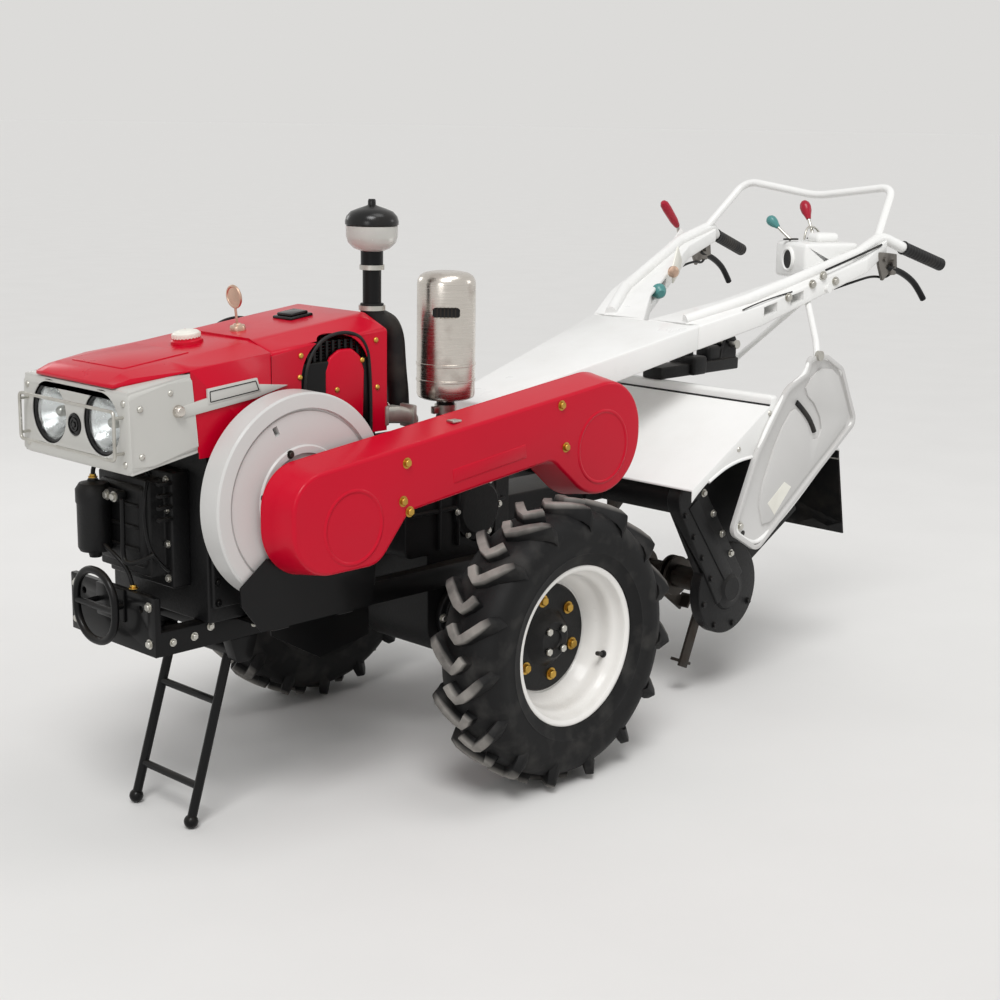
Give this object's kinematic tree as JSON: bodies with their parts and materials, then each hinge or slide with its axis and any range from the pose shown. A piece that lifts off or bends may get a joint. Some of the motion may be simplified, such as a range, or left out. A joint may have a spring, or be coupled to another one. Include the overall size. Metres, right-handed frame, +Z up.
{
  "type": "walking tractor with rotary tiller",
  "caption": "Two-wheel walking tractor with a belt-driven engine under a hood, long handles, a folding front stand and a rear rotary tiller under a shroud.",
  "frame": {"origin": "middle of the underside of the overall box, on the floor", "axes": "+X forward along the tractor, +Y to the left of a person walking behind it, +Z up"},
  "size_m": [2.6354, 1.005, 1.2802],
  "materials": {
    "red_paint": "glossy crimson enamel",
    "white_paint": "glossy white enamel",
    "silver_paint": "satin silver-grey enamel",
    "grey_paint": "satin light grey enamel",
    "black_paint": "semi-gloss black paint",
    "black_casting": "black painted rough casting",
    "bright_steel": "bright plated steel, lightly dulled",
    "worn_steel": "dark forged steel, worn bright at the edges",
    "copper": "bare copper",
    "lamp_glass": "fluted clear lens over a bright reflector",
    "clear_plastic": "cloudy translucent plastic",
    "black_plastic": "glossy black plastic",
    "black_rubber": "matt black rubber",
    "tyre_rubber": "dusty black tyre rubber"
  },
  "bodies": {
    "chassis": {"air_duct": "black_rubber", "axle_housings": "black_casting", "belt_cover": "red_paint", "belt_cover_back": "red_paint", "cover_brackets": "black_paint", "cylinder_head": "black_casting", "engine_block": "black_casting", "engine_frame": "black_paint", "exhaust_pipe": "black_casting", "front_bumper": "black_paint", "front_hood": "red_paint", "fuel_cap": "white_paint", "fuel_filter": "black_paint", "fuel_tank": "red_paint", "gear_console": "white_paint", "gearbox": "black_casting", "handle_loop": "white_paint", "handle_post": "white_paint", "hanger_rod": "white_paint", "horn": "black_paint", "intake_pipe": "black_paint", "lamp_guard": "bright_steel", "lamp_housing": "silver_paint", "left_clutch_lever": "black_paint", "left_grip": "black_rubber", "left_handle_arm": "white_paint", "left_headlamp": "lamp_glass", "left_levers": "bright_steel", "left_side_arm": "black_casting", "left_side_plate": "grey_paint", "level_float": "copper", "link_rod": "bright_steel", "muffler": "bright_steel", "pre_cleaner_bowl": "clear_plastic", "pre_cleaner_cap": "black_plastic", "radiator": "black_paint", "rear_flap": "black_rubber", "rear_hood": "red_paint", "right_clutch_lever": "black_paint", "right_grip": "black_rubber", "right_handle_arm": "white_paint", "right_headlamp": "lamp_glass", "right_lever": "bright_steel", "right_side_arm": "black_casting", "right_side_plate": "grey_paint", "rotary_case": "black_casting", "shroud": "white_paint", "stand_bracket": "black_paint", "tail_bracket": "black_casting", "water_cap": "black_plastic"},
    "left_wheel": {"left_tyre": "tyre_rubber", "left_rim": "white_paint", "left_hub": "black_casting"},
    "right_wheel": {"right_tyre": "tyre_rubber", "right_rim": "white_paint", "right_hub": "black_casting"},
    "flywheel": {"flywheel": "grey_paint"},
    "rotor": {"rotor": "worn_steel"},
    "front_stand": {"front_stand": "black_paint"}
  },
  "joints": [
    {"name": "left_wheel_axle", "type": "hinge", "parent": "chassis", "child": "left_wheel", "pos_m": [0.36421, 0.42, 0.32], "axis": [0, 1, 0], "continuous": true},
    {"name": "right_wheel_axle", "type": "hinge", "parent": "chassis", "child": "right_wheel", "pos_m": [0.36421, -0.42, 0.32], "axis": [0, 1, 0], "continuous": true},
    {"name": "rotor_axle", "type": "hinge", "parent": "chassis", "child": "rotor", "pos_m": [-0.38079, 0, 0.285], "axis": [0, 1, 0], "continuous": true},
    {"name": "crankshaft", "type": "hinge", "parent": "chassis", "child": "flywheel", "pos_m": [0.9342, 0.196, 0.693], "axis": [0, 1, 0], "continuous": true},
    {"name": "front_stand_pivot", "type": "hinge", "parent": "chassis", "child": "front_stand", "pos_m": [1.0092, 0, 0.365], "axis": [0, 1, 0], "range_deg": [0, 80]}
  ]
}
